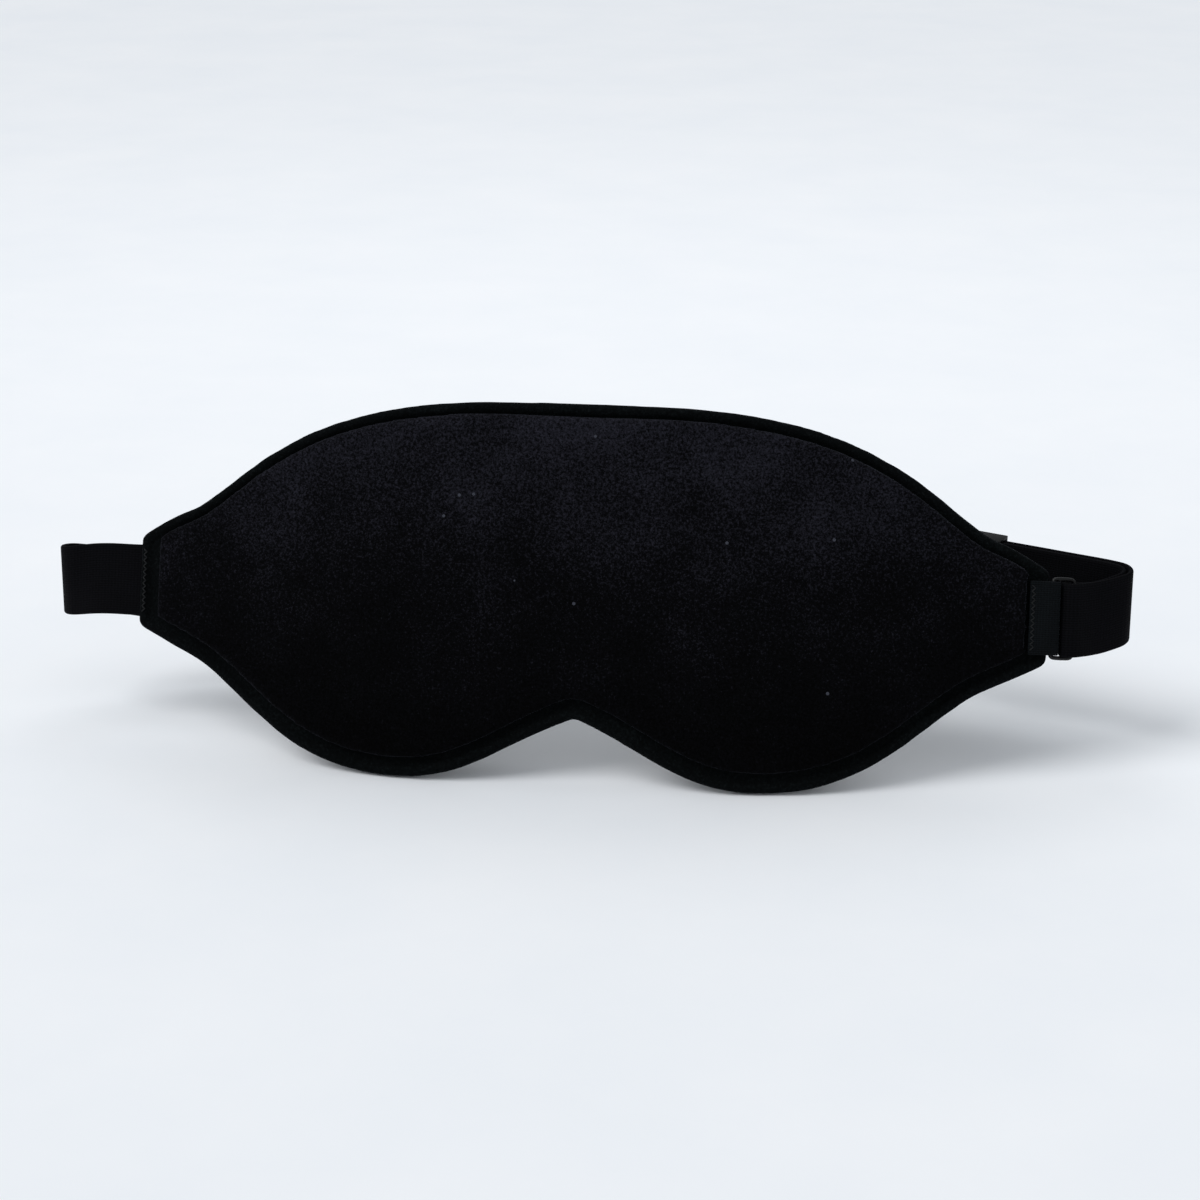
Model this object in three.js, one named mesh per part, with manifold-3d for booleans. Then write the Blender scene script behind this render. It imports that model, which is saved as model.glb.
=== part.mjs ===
// Contoured sleep mask with an adjustable elastic head strap.
// Millimetres, +Z up. The mask faces -Y, leans back, and stands on its two lobes and on its strap.
//
// The mask is drawn flat first: u runs along its width, v up its height, and w from its front (-)
// to the wearer's side (+). place() wraps that flat drawing round the face and leans it back.
import * as THREE from 'three';
import { mergeVertices } from 'three/addons/utils/BufferGeometryUtils.js';
import Module from 'manifold-3d';

const wasm = await Module();
wasm.setup();

// ---------- driving dimensions ----------
const maskWidth = 242;          // end to end along the curve
const maskHeight = 98;          // lobe bottoms to top edge
const notchHeight = 17.2;       // lobe bottoms to the top of the nose notch
const wrapRadius = 491;         // radius of the bend round the face
const leanAngle = THREE.MathUtils.degToRad(20.2);
const endLevel = maskHeight / 2 - 1;               // middle of both ends, where the strap is sewn
const endEdge = 24;             // length of the straight edge at each end
const cornerRadius = 3;         // the end corners and the top of the notch
const gap = 0.3;                // between pieces that touch

const flangeThickness = 1.6;
const tapeThickness = 0.9;      // wall of the edge binding
const bindingWidth = 2.6;       // how far the binding reaches in from the edge

const padThickness = 3.0;       // front pad at its cut edge
const domeHeight = 2.4;         // how far the pad swells over each eye
const borderTop = 3.3;          // pad edge to mask edge, along the top
const borderBottom = 5.0;       // the same along the lobes and the notch
const borderEnd = 6.5;          // the same at the ends

const backThickness = 6.1;      // moulded back panel
const backBorder = 6.5;
const backEnd = 12.5;           // back panel to mask edge at the ends, which leaves room for the tabs
const backRound = 2.4;
const eyeSpacing = 76;          // centre to centre of the eye hollows
const eyeLevel = endLevel + 2;
const eyeWidth = 54;
const eyeHeight = 40;
const ringWidth = 9;            // soft ring round each eye hollow
const ringHeight = 6.2;
const flapThickness = 1.5;
const flapTop = eyeLevel - 16;
const flapBottom = notchHeight + gap;
const flapTopWidth = 14;
const flapBottomWidth = 29;

const strapWidth = 19;
const strapThickness = 1.2;
const layerGap = 0.6;           // between the two layers of the doubled strap
const webbing = 1.2;            // thickness of the end tabs
const threadWidth = 0.5;
const threadHeight = 0.4;
const stitchReach = 0.7;        // half the swing of each zigzag seam

const ringWire = 1.2;           // end ring
const ringBars = 5.8;           // centre to centre of its two upright bars
const ringPlay = 1.0;           // between the ring's outer bar and the strap folded round it

const stubReach = 5.3;          // ring's outer bar to the start of the free strap
const stubDrift = 3.0;          // how far the stub falls back behind the bar over that stretch
const nearRun = 7.8;            // free strap from the root to its right-hand turn
const leaveLength = 1.8;        // its first stretch, in line with the root
const twistLength = 18;         // from a root to where the free strap stands upright
const turnRadius = 3.2;
const turnRise = 3.2;           // the free strap climbs this much round its right-hand turn
const farAngle = THREE.MathUtils.degToRad(24);     // far run against the line through both ends
const straightRun = 68;         // straight stretch that the adjuster travels on
const straightStep = 5;         // between the strap's stations along it
const leftRun = 8.8;            // free strap from the left root to its left-hand turn
const leftRadius = 3.6;
const leftHeading = THREE.MathUtils.degToRad(8);
const leftRise = -3.2;          // and drops this much round its left-hand turn
const leftDrop = 5;             // how steeply the strap sags away from the left-hand turn
const touchX = -14;             // where the sagging strap rests on the floor
const loopDepth = 44;           // strap ends to the furthest point of the loop
const sagReach = 30;            // how long the sagging strap keeps the straight stretch's direction
const floorReach = [34, 40];    // how long it keeps level on each side of where it rests
const climbReach = 24;          // how long it keeps the left-hand turn's direction

const slideLength = 12.6;       // adjuster along the strap
const slideBar = 2.4;
const slideWall = 1.0;
const slideRail = 0.8;
const slideAt = 39;             // adjuster's middle from the start of the straight stretch
const tailEnd = 66;             // end of the free tail from the same point
const hemLength = 6;

// ---------- derived sizes ----------
const halfWidth = maskWidth / 2;
const flangeBack = flangeThickness;
const bindingFront = -(gap + tapeThickness);
const bindingBack = flangeThickness + gap + tapeThickness;
const backFront = flangeBack + gap;
const backFace = backFront + backThickness;
const strapFront = bindingBack + gap + webbing + gap;   // left strap root lies behind the tab
const ringInnerBar = halfWidth + gap + ringWire / 2;
const ringOuterBar = ringInnerBar + ringBars;
const midDepth = flangeThickness / 2;
const strapBottom = endLevel - strapWidth / 2;
const strapTop = endLevel + strapWidth / 2;

// ---------- the flat outline ----------
function bezier(a, b, c, d) {
  const v = [a, b, c, d].map(([x, y]) => new THREE.Vector2(x, y));
  return new THREE.CubicBezierCurve(...v);
}
const U = (share) => share * halfWidth;
const V = (share) => share * maskHeight;
const shoulder = [U(0.76), V(0.788)];
const cheek = [U(0.744), V(0.184)];
const lobe = [U(0.38), 0];
const endTop = [halfWidth, endLevel + endEdge / 2];
const endBottom = [halfWidth, endLevel - endEdge / 2];
const topCurves = [
  bezier([0, maskHeight], [U(0.248), V(1)], [U(0.517), V(1.018)], shoulder),
  bezier(shoulder, [U(0.925), V(0.63)], [U(0.83), V(0.738)], endTop),
];
const bottomCurves = [
  bezier([0, notchHeight], [U(0.164), notchHeight - V(0.083)], [U(0.229), 0], lobe),
  bezier(lobe, [U(0.564), 0], [U(0.664), V(0.103)], cheek),
  bezier(cheek, [U(0.86), V(0.303)], [U(0.84), V(0.27)], endBottom),
];

// Replaces each sharp corner of a closed outline by an arc-like run of points.
function roundCorners(points) {
  const sharpTurn = 0.35;
  return points.flatMap((p, i) => {
    const before = points[(i + points.length - 1) % points.length];
    const after = points[(i + 1) % points.length];
    const inward = p.clone().sub(before).normalize();
    const outward = after.clone().sub(p).normalize();
    const turn = Math.acos(THREE.MathUtils.clamp(inward.dot(outward), -1, 1));
    if (turn < sharpTurn) return [p];
    const cut = cornerRadius * Math.tan(turn / 2);
    const start = p.clone().addScaledVector(inward, -cut);
    const end = p.clone().addScaledVector(outward, cut);
    return new THREE.QuadraticBezierCurve(start, p, end).getPoints(5);
  });
}
// The whole outline, anticlockwise from the top of the notch.
function outline(steps) {
  const half = [
    ...bottomCurves.flatMap((curve) => curve.getPoints(steps)),
    ...[...topCurves].reverse().flatMap((curve) => curve.getPoints(steps).reverse()),
  ];
  const points = half.filter((p, i) => i === 0 || p.distanceTo(half[i - 1]) > 0.05);
  const mirrored = points.slice(1, -1).reverse().map((p) => new THREE.Vector2(-p.x, p.y));
  return roundCorners([...points, ...mirrored]);
}
const finePoints = outline(60).filter((p) => p.x > 0).sort((a, b) => a.x - b.x);
const topPoints = finePoints.filter((p) => p.y > endLevel);
const bottomPoints = finePoints.filter((p) => p.y < endLevel);

function interpolate(points, u) {
  const x = Math.min(Math.abs(u), halfWidth);
  const i = Math.max(1, points.findIndex((p) => p.x >= x - 1e-9));
  const a = points[i - 1];
  const b = points[i];
  const share = b.x - a.x < 1e-9 ? 0 : (x - a.x) / (b.x - a.x);
  return a.y + (b.y - a.y) * Math.min(1, Math.max(0, share));
}

// The outline moved inwards: a disc of the border's radius rolls along the edge.
function insetSpan(u, top, bottom) {
  let high = Infinity;
  let low = -Infinity;
  const steps = 24;
  for (let i = -steps; i <= steps; i += 1) {
    const shareOfRadius = i / steps;
    const rise = Math.sqrt(1 - shareOfRadius * shareOfRadius);
    const uTop = u + shareOfRadius * top;
    const uBottom = u + shareOfRadius * bottom;
    if (Math.abs(uTop) <= halfWidth) high = Math.min(high, interpolate(topPoints, uTop) - rise * top);
    if (Math.abs(uBottom) <= halfWidth) {
      low = Math.max(low, interpolate(bottomPoints, uBottom) + rise * bottom);
    }
  }
  return [low, high];
}

// ---------- from the flat drawing to the standing mask ----------
function bend(u, w) {
  const angle = u / wrapRadius;
  const r = wrapRadius - w;
  return [r * Math.sin(angle), wrapRadius - r * Math.cos(angle)];
}
function stand(x, n, v) {
  const y = n * Math.cos(leanAngle) + v * Math.sin(leanAngle);
  const z = v * Math.cos(leanAngle) - n * Math.sin(leanAngle);
  return new THREE.Vector3(x, y, z);
}
function place(u, v, w) {
  const [x, n] = bend(u, w);
  return stand(x, n, v);
}

// ---------- closed meshes ----------
function signedVolume(points, faces) {
  let sum = 0;
  for (const [a, b, c] of faces) {
    sum += points[a].dot(new THREE.Vector3().crossVectors(points[b], points[c]));
  }
  return sum / 6;
}
function solid(points, faces) {
  const outward = signedVolume(points, faces) > 0;
  const geometry = new THREE.BufferGeometry();
  geometry.setAttribute('position', new THREE.Float32BufferAttribute(
    points.flatMap((p) => [p.x, p.y, p.z]), 3));
  geometry.setIndex(faces.flatMap(([a, b, c]) => (outward ? [a, b, c] : [a, c, b])));
  return geometry;
}
// Rings of equal count joined one after the other; open rows get a fan at each end.
function loft(rings, closed = false) {
  const count = rings[0].length;
  const points = rings.flat();
  const faces = [];
  const last = closed ? rings.length : rings.length - 1;
  for (let i = 0; i < last; i += 1) {
    const a = i * count;
    const b = ((i + 1) % rings.length) * count;
    for (let j = 0; j < count; j += 1) {
      const k = (j + 1) % count;
      faces.push([a + j, a + k, b + k], [a + j, b + k, b + j]);
    }
  }
  if (!closed) {
    for (const [start, flip] of [[0, true], [(rings.length - 1) * count, false]]) {
      const middle = new THREE.Vector3();
      for (let j = 0; j < count; j += 1) middle.addScaledVector(points[start + j], 1 / count);
      points.push(middle);
      const centre = points.length - 1;
      for (let j = 0; j < count; j += 1) {
        const k = (j + 1) % count;
        faces.push(flip ? [centre, start + k, start + j] : [centre, start + j, start + k]);
      }
    }
  }
  return solid(points, faces);
}
// A closed (u, w) drawing extruded up the mask's height, then wrapped and leaned.
function upright(drawing, low, high, map = place) {
  const shape = new THREE.Shape(drawing.map(([u, w]) => new THREE.Vector2(u, w)));
  const flat = new THREE.ExtrudeGeometry(shape, { depth: high - low, bevelEnabled: false });
  return remap(flat, (p) => map(p.x, low + p.z, p.y));
}
function remap(flat, map) {
  flat.deleteAttribute('normal');
  flat.deleteAttribute('uv');
  const merged = mergeVertices(flat, 1e-5);
  const position = merged.getAttribute('position');
  const points = [];
  for (let i = 0; i < position.count; i += 1) {
    points.push(map(new THREE.Vector3().fromBufferAttribute(position, i)));
  }
  const index = Array.from(merged.getIndex().array);
  const faces = [];
  for (let i = 0; i < index.length; i += 3) faces.push(index.slice(i, i + 3));
  return solid(points, faces);
}
// A strip of even thickness along a path of [x, y] points, with mitred corners.
function strip(path, thickness) {
  const sides = [[], []];
  path.forEach((point, i) => {
    const before = path[Math.max(0, i - 1)];
    const after = path[Math.min(path.length - 1, i + 1)];
    const inDirection = new THREE.Vector2(point[0] - before[0], point[1] - before[1]);
    const outDirection = new THREE.Vector2(after[0] - point[0], after[1] - point[1]);
    if (i === 0) inDirection.copy(outDirection);
    if (i === path.length - 1) outDirection.copy(inDirection);
    inDirection.normalize();
    outDirection.normalize();
    const along = inDirection.clone().add(outDirection).normalize();
    const reach = thickness / 2 / Math.max(0.5, along.dot(inDirection));
    sides[0].push([point[0] - along.y * reach, point[1] + along.x * reach]);
    sides[1].unshift([point[0] + along.y * reach, point[1] - along.x * reach]);
  });
  return [...sides[0], ...sides[1]];
}
function toManifold(geometry) {
  const merged = mergeVertices(geometry, 1e-5);
  return new wasm.Manifold(new wasm.Mesh({
    numProp: 3,
    vertProperties: new Float32Array(merged.getAttribute('position').array),
    triVerts: new Uint32Array(merged.getIndex().array),
  }));
}
function fromManifold(body) {
  const mesh = body.getMesh();
  const geometry = new THREE.BufferGeometry();
  geometry.setAttribute('position', new THREE.BufferAttribute(new Float32Array(mesh.vertProperties), 3));
  geometry.setIndex(new THREE.BufferAttribute(new Uint32Array(mesh.triVerts), 1));
  return geometry;
}

// ---------- materials ----------
function material(color, roughness, metalness = 0) {
  return new THREE.MeshStandardMaterial({ color, roughness, metalness });
}
const group = new THREE.Group();
function add(name, geometry, finish) {
  const mesh = new THREE.Mesh(geometry, finish);
  mesh.name = name;
  group.add(mesh);
  return mesh;
}
const velour = () => material(0x16161a, 0.95);
const lining = () => material(0x1a1a1e, 0.9);
const tape = () => material(0x121416, 0.9);
const elastic = () => material(0x101014, 0.85);
const plastic = () => material(0x0c0d10, 0.35);
const thread = () => material(0x0a0a0c, 0.6);

// ---------- soft panels: columns of (v, w) sections across the width ----------
// Stations crowd towards the notch and the ends, where the outline turns fastest.
function stations(reach) {
  const columns = 52;
  const crowding = 0.12;
  const list = [];
  for (let i = 0; i <= columns; i += 1) {
    const share = -1 + 2 * i / columns;
    list.push((share - crowding * Math.sin(2 * Math.PI * share)) * reach);
  }
  return list;
}
function panel({ end, top, bottom, front, back, rows, frontRound = 0, backRound: roundBack = 0 }) {
  const rings = stations(halfWidth - end).map((u) => {
    const [low, high] = insetSpan(u, top, bottom);
    const ring = [];
    for (let j = 0; j <= rows; j += 1) {
      const v = low + frontRound + (high - low - 2 * frontRound) * j / rows;
      ring.push(place(u, v, front(u, v, low, high)));
    }
    if (frontRound > 0) ring.push(place(u, high, front(u, high, low, high) + frontRound));
    if (roundBack > 0) ring.push(place(u, high, back - roundBack));
    ring.push(place(u, high - roundBack, back));
    ring.push(place(u, low + roundBack, back));
    if (roundBack > 0) ring.push(place(u, low, back - roundBack));
    if (frontRound > 0) ring.push(place(u, low, front(u, low, low, high) + frontRound));
    return ring;
  });
  return loft(rings);
}

// The pad swells gently over each eye and stays level along its cut edge.
function padFront(u, v, low, high) {
  const levelEdge = 16;
  const across = (Math.abs(u) - U(0.38)) / U(0.3);
  const up = (v - V(0.5)) / V(0.3);
  const swell = Math.exp(-across * across - up * up);
  const fromEdge = Math.min(v - low, high - v, halfWidth - borderEnd - Math.abs(u));
  const ease = THREE.MathUtils.smoothstep(fromEdge, 0, levelEdge);
  return -(gap + padThickness) - domeHeight * swell * ease;
}
add('front_pad', panel({
  end: borderEnd, top: borderTop, bottom: borderBottom,
  front: padFront, back: -gap, rows: 12, frontRound: 0.7,
}), velour());

const flangeInset = tapeThickness + gap;
add('flange_panel', panel({
  end: flangeInset, top: flangeInset, bottom: flangeInset, front: () => 0, back: flangeBack, rows: 4,
}), lining());

// ---------- moulded back panel, with a hole for each eye ----------
function oval(centreU, centreV, width, height, count) {
  const points = [];
  for (let i = 0; i < count; i += 1) {
    const angle = 2 * Math.PI * i / count;
    points.push([centreU + width / 2 * Math.cos(angle), centreV + height / 2 * Math.sin(angle)]);
  }
  return points;
}
function eyePlug(side) {
  const overshoot = 2;
  const drawing = oval(side * eyeSpacing / 2, eyeLevel, eyeWidth, eyeHeight, 36);
  const shape = new THREE.Shape(drawing.map(([u, v]) => new THREE.Vector2(u, v)));
  const depth = backThickness + 2 * overshoot;
  const flat = new THREE.ExtrudeGeometry(shape, { depth, bevelEnabled: false });
  return toManifold(remap(flat, (p) => place(p.x, p.y, backFront - overshoot + p.z)));
}
const backBlank = toManifold(panel({
  end: backEnd, top: backBorder, bottom: backBorder,
  front: () => backFront, back: backFace, rows: 4, backRound,
}));
add('back_panel', fromManifold(backBlank.subtract(eyePlug(-1)).subtract(eyePlug(1))), lining());

// ---------- soft ring round each eye hollow ----------
function eyeRing(side) {
  const h = ringHeight;
  const half = ringWidth / 2;
  const section = [
    [-half, 0], [half, 0], [half, h * 0.45], [half * 0.66, h * 0.85], [0, h],
    [-half * 0.66, h * 0.85], [-half, h * 0.45],
  ];
  const count = 44;
  const rings = [];
  for (let i = 0; i < count; i += 1) {
    const angle = 2 * Math.PI * i / count;
    rings.push(section.map(([outward, up]) => place(
      side * eyeSpacing / 2 + ((eyeWidth + ringWidth) / 2 + outward) * Math.cos(angle),
      eyeLevel + ((eyeHeight + ringWidth) / 2 + outward) * Math.sin(angle),
      backFace + gap + up,
    )));
  }
  return loft(rings, true);
}
add('left_eye_ring', eyeRing(-1), lining());
add('right_eye_ring', eyeRing(1), lining());

// ---------- nose flap: hangs from its top edge behind the notch ----------
function noseFlap() {
  const rows = 8;
  const rings = [];
  for (let i = 0; i <= rows; i += 1) {
    const share = i / rows;
    const v = flapTop + (flapBottom - flapTop) * share;
    const half = (flapTopWidth + (flapBottomWidth - flapTopWidth) * share) / 2;
    const near = backFace + gap;
    rings.push([
      place(-half, v, near), place(0, v, near), place(half, v, near),
      place(half, v, near + flapThickness), place(0, v, near + flapThickness),
      place(-half, v, near + flapThickness),
    ]);
  }
  return loft(rings);
}
add('nose_flap', noseFlap(), lining());

// ---------- edge binding: a folded tape, its slot round the flange ----------
function edgeBinding() {
  const t = tapeThickness;
  const lip = bindingWidth - 0.5;
  const lipRound = 0.2;
  const foldRound = [0.25, 0.8];
  const section = [
    [bindingWidth, -gap], [bindingWidth, bindingFront + lipRound], [lip, bindingFront],
    [t, bindingFront], [foldRound[0], bindingFront + foldRound[1]], [0, midDepth],
    [foldRound[0], bindingBack - foldRound[1]], [t, bindingBack], [lip, bindingBack],
    [bindingWidth, bindingBack - lipRound], [bindingWidth, flangeBack + gap],
    [t, flangeBack + gap], [t, -gap],
  ];
  const edge = outline(14);
  const rings = edge.map((p, i) => {
    const before = edge[(i + edge.length - 1) % edge.length];
    const after = edge[(i + 1) % edge.length];
    const along = after.clone().sub(before).normalize();
    const inward = new THREE.Vector2(-along.y, along.x);
    return section.map(([inset, w]) => place(p.x + inward.x * inset, p.y + inward.y * inset, w));
  });
  return loft(rings, true);
}
const binding = edgeBinding();
add('edge_binding', binding, tape());

// ---------- end tabs ----------
const tabStart = halfWidth - borderEnd + 0.7;
const sewnEnd = halfWidth - backEnd + 0.6;
const legFront = bindingFront - gap - webbing / 2;
const legBack = bindingBack + gap + webbing / 2;
function mirrorU(path, side) {
  return path.map(([u, w]) => [side * u, w]);
}
// The left tab is a patch behind the mask's end, which the strap's root is sewn to.
const legEnd = halfWidth - 0.8;
const leftTabPath = [[legEnd, legBack], [sewnEnd, legBack]];
// The right tab is a loop: beyond the mask's end it closes in on the ring's inner bar.
const loopReach = ringInnerBar + ringWire / 2 + gap + webbing / 2;
const loopHalf = ringWire / 2 + gap + webbing / 2 + 0.1;
const neck = halfWidth + 0.5;
const neckDip = 0.75;
const loopCorner = 0.35;
const rightTabPath = [
  [tabStart, legFront], [legEnd, legFront], [neck, legFront + neckDip],
  [loopReach - loopCorner, midDepth - loopHalf], [loopReach, midDepth - 0.5],
  [loopReach, midDepth + 0.5], [loopReach - loopCorner, midDepth + loopHalf],
  [neck, legBack - neckDip], [legEnd, legBack], [sewnEnd, legBack],
];
add('left_end_tab', upright(strip(mirrorU(leftTabPath, -1), webbing), strapBottom, strapTop), tape());
add('right_end_tab', upright(strip(rightTabPath, webbing), strapBottom, strapTop), tape());

// A bartack is one thread that zigzags up the end of the mask, on top of the piece it holds.
function bartack(u, low, high, top) {
  const path = [];
  const turns = 18;
  for (let i = 0; i <= turns; i += 1) {
    path.push([u + (i % 2 ? stitchReach : -stitchReach), low + (high - low) * i / turns]);
  }
  const shape = new THREE.Shape(strip(path, threadWidth).map(([x, y]) => new THREE.Vector2(x, y)));
  const flat = new THREE.ExtrudeGeometry(shape, { depth: threadHeight, bevelEnabled: false });
  return remap(flat, (p) => place(p.x, p.y, top - gap - threadHeight + p.z));
}
const seamMargin = 1.2;
const seam = [strapBottom + seamMargin, strapTop - seamMargin];
add('left_bartack', bartack(-(halfWidth - bindingWidth + stitchReach), ...seam, bindingFront), thread());
add('right_bartack', bartack(tabStart + seamMargin, ...seam, legFront - webbing / 2), thread());

// ---------- end ring: a closed wire loop ----------
function endRing() {
  const halfHeight = strapWidth / 2 + gap + ringWire / 2;
  const r = ringWire * 0.9;
  const corners = [
    [ringInnerBar + r, -halfHeight + r, Math.PI], [ringOuterBar - r, -halfHeight + r, 1.5 * Math.PI],
    [ringOuterBar - r, halfHeight - r, 0], [ringInnerBar + r, halfHeight - r, Math.PI / 2],
  ];
  const path = corners.flatMap(([u, v, start]) => [0, 1, 2, 3].map((k) => {
    const angle = start + k * Math.PI / 6;
    return { u: u + r * Math.cos(angle), v: endLevel + v + r * Math.sin(angle), angle };
  }));
  const sides = 10;
  const rings = path.map(({ u, v, angle }) => {
    const ring = [];
    for (let i = 0; i < sides; i += 1) {
      const round = 2 * Math.PI * i / sides;
      const out = ringWire / 2 * Math.cos(round);
      ring.push(place(u + out * Math.cos(angle), v + out * Math.sin(angle),
        midDepth + ringWire / 2 * Math.sin(round)));
    }
    return ring;
  });
  return loft(rings, true);
}
add('end_ring', endRing(), plastic());

// ---------- strap roots, which stay with the mask ----------
// Plan coordinates: x across, n away from the mask's front, at an even height up the mask.
const [barX, barN] = bend(ringOuterBar, midDepth);
const buttN = barN + stubDrift;
const buttX = barX + stubReach;
const stubHeading = new THREE.Vector2(buttX - barX, buttN - barN).normalize();
const stubSide = new THREE.Vector2(-stubHeading.y, stubHeading.x);
const layerStep = (strapThickness + layerGap) / 2;
const plan = (x, v, n) => stand(x, n, v);
const cutGap = gap / 2;

function rightRootPath() {
  const radius = ringWire / 2 + ringPlay + strapThickness / 2;
  const bar = new THREE.Vector2(barX, barN);
  const butt = new THREE.Vector2(buttX - cutGap, buttN - cutGap * stubHeading.y / stubHeading.x);
  const path = [butt.clone().addScaledVector(stubSide, -layerStep)];
  for (let k = 0; k <= 8; k += 1) {
    const angle = -Math.PI / 2 - Math.PI * k / 8;
    const out = stubHeading.clone().multiplyScalar(radius * Math.cos(angle))
      .addScaledVector(stubSide, radius * Math.sin(angle));
    path.push(bar.clone().add(out));
  }
  path.push(butt.clone().addScaledVector(stubSide, layerStep));
  return path.map((p) => [p.x, p.y]);
}
// Ends cut square to the X axis, so that the free strap can swing against them.
function squareEnds(drawing, x, side) {
  const endZone = 1.6;
  return drawing.map(([px, py]) => {
    const isEnd = side > 0 ? px > x - endZone : px < x + endZone;
    if (!isEnd) return [px, py];
    const slope = side > 0 ? stubHeading.y / stubHeading.x : 0;
    return [x, py + (x - px) * slope];
  });
}
add('elastic_right_root', upright(
  squareEnds(strip(rightRootPath(), strapThickness), buttX - cutGap, 1),
  strapBottom, strapTop, plan), elastic());

function leftRootPath() {
  const w = strapFront + strapThickness / 2;
  const sewn = [sewnEnd, halfWidth - 6, halfWidth + 0.5].map((u) => bend(-u, w));
  return [...sewn, [-(buttX - 6), buttN - 0.1], [-(buttX - cutGap), buttN]];
}
add('elastic_left_root', upright(
  squareEnds(strip(leftRootPath(), strapThickness), -(buttX - cutGap), -1),
  strapBottom, strapTop, plan), elastic());

// ---------- the free strap ----------
binding.computeBoundingBox();
const floorLevel = binding.boundingBox.min.z;
const butt = stand(buttX, buttN, endLevel);
const leftButt = stand(-buttX, buttN, endLevel);
const touchLevel = floorLevel + strapWidth / 2;

// A run of points round a turn, in plan, starting at `start` with the heading `heading`.
function turnPlan(start, heading, radius, sweep) {
  const steps = 12;
  const toCentre = new THREE.Vector2(-Math.sin(heading), Math.cos(heading)).multiplyScalar(radius);
  const centre = start.clone().add(toCentre);
  const route = [];
  for (let i = 0; i <= steps; i += 1) {
    const angle = heading - Math.PI / 2 + sweep * i / steps;
    const reach = new THREE.Vector2(Math.cos(angle), Math.sin(angle)).multiplyScalar(radius);
    route.push(centre.clone().add(reach));
  }
  return route;
}
// The distance travelled along a row of points, up to each of them.
function travelledTo(points) {
  let travelled = 0;
  return points.map((p, i) => {
    if (i > 0) travelled += p.distanceTo(points[i - 1]);
    return travelled;
  });
}
// Gives plan points a height that climbs evenly from one level to another.
function sloped(route, fromLevel, toLevel) {
  const travelled = travelledTo(route);
  const whole = travelled[travelled.length - 1];
  return route.map((p, i) => {
    return new THREE.Vector3(p.x, p.y, fromLevel + (toLevel - fromLevel) * travelled[i] / whole);
  });
}
// The middle line of the strap, from the right root round the back to the left root.
function strapMiddle() {
  const leaving = stand(stubHeading.x, stubHeading.y, 0);
  const nearAngle = Math.atan2(leaving.y, leaving.x);
  const near = new THREE.Vector2(Math.cos(nearAngle), Math.sin(nearAngle));
  const start = new THREE.Vector2(butt.x, butt.y);
  const nearPlan = [0, leaveLength, (leaveLength + nearRun) / 2]
    .map((along) => start.clone().addScaledVector(near, along));
  const turn = turnPlan(start.clone().addScaledVector(near, nearRun), nearAngle, turnRadius,
    Math.PI - nearAngle - farAngle);
  const points = sloped([...nearPlan, ...turn], butt.z, butt.z + turnRise);

  const far = new THREE.Vector3(-Math.cos(farAngle), Math.sin(farAngle), 0);
  const straightIndex = points.length - 1;
  const straightStart = points[straightIndex].clone();
  const straightEnd = straightStart.clone().addScaledVector(far, straightRun);
  for (let along = straightStep; along < straightRun; along += straightStep) {
    points.push(straightStart.clone().addScaledVector(far, along));
  }
  points.push(straightEnd);

  const touch = new THREE.Vector3(touchX, butt.y + loopDepth, touchLevel);
  const sag = new THREE.CubicBezierCurve3(straightEnd,
    straightEnd.clone().addScaledVector(far, sagReach),
    touch.clone().add(new THREE.Vector3(floorReach[0], 0, 0)), touch);
  points.push(...sag.getPoints(16).slice(1));

  // The left turn is laid out from the left root outwards, then followed the other way.
  const leftEnd = new THREE.Vector2(-leftButt.x, leftButt.y + layerStep);
  const leftStart = leftEnd.clone().add(new THREE.Vector2(leftRun, leftRun * Math.tan(leftHeading)));
  const leftTurn = turnPlan(leftStart, leftHeading, leftRadius, Math.PI - leftHeading - farAngle);
  const leftPlan = [leftEnd, leftEnd.clone().lerp(leftStart, 0.5), ...leftTurn]
    .map((p) => new THREE.Vector2(-p.x, p.y));
  const leftPoints = sloped(leftPlan, leftButt.z, leftButt.z + leftRise).reverse();
  const leftTurnStart = leftPoints[0];
  const fromTurn = new THREE.Vector3(
    climbReach * Math.cos(farAngle), climbReach * Math.sin(farAngle), -leftDrop);
  const climb = new THREE.CubicBezierCurve3(touch,
    touch.clone().add(new THREE.Vector3(-floorReach[1], 0, 0)),
    leftTurnStart.clone().add(fromTurn), leftTurnStart);
  points.push(...climb.getPoints(20).slice(1), ...leftPoints.slice(1));
  return { points, straightStart, straightIndex, far };
}
const middle = strapMiddle();

// Each station of the strap has its own width direction: square to the mask at the roots,
// upright on the free run.
function frames(points) {
  const maskUp = stand(0, 0, 1);
  const up = new THREE.Vector3(0, 0, 1);
  const travelled = travelledTo(points);
  const whole = travelled[travelled.length - 1];
  return points.map((p, i) => {
    const tangent = points[Math.min(i + 1, points.length - 1)].clone()
      .sub(points[Math.max(i - 1, 0)]).normalize();
    const fromRoot = Math.min(travelled[i], whole - travelled[i]);
    const width = maskUp.clone().lerp(up, THREE.MathUtils.smoothstep(fromRoot, nearRun, twistLength));
    const square = THREE.MathUtils.smoothstep(fromRoot, leaveLength, nearRun);
    width.addScaledVector(tangent, -width.dot(tangent) * square).normalize();
    const outer = new THREE.Vector3().crossVectors(tangent, width).normalize();
    return { p, tangent, width, outer };
  });
}
const strapFrames = frames(middle.points);
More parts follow.
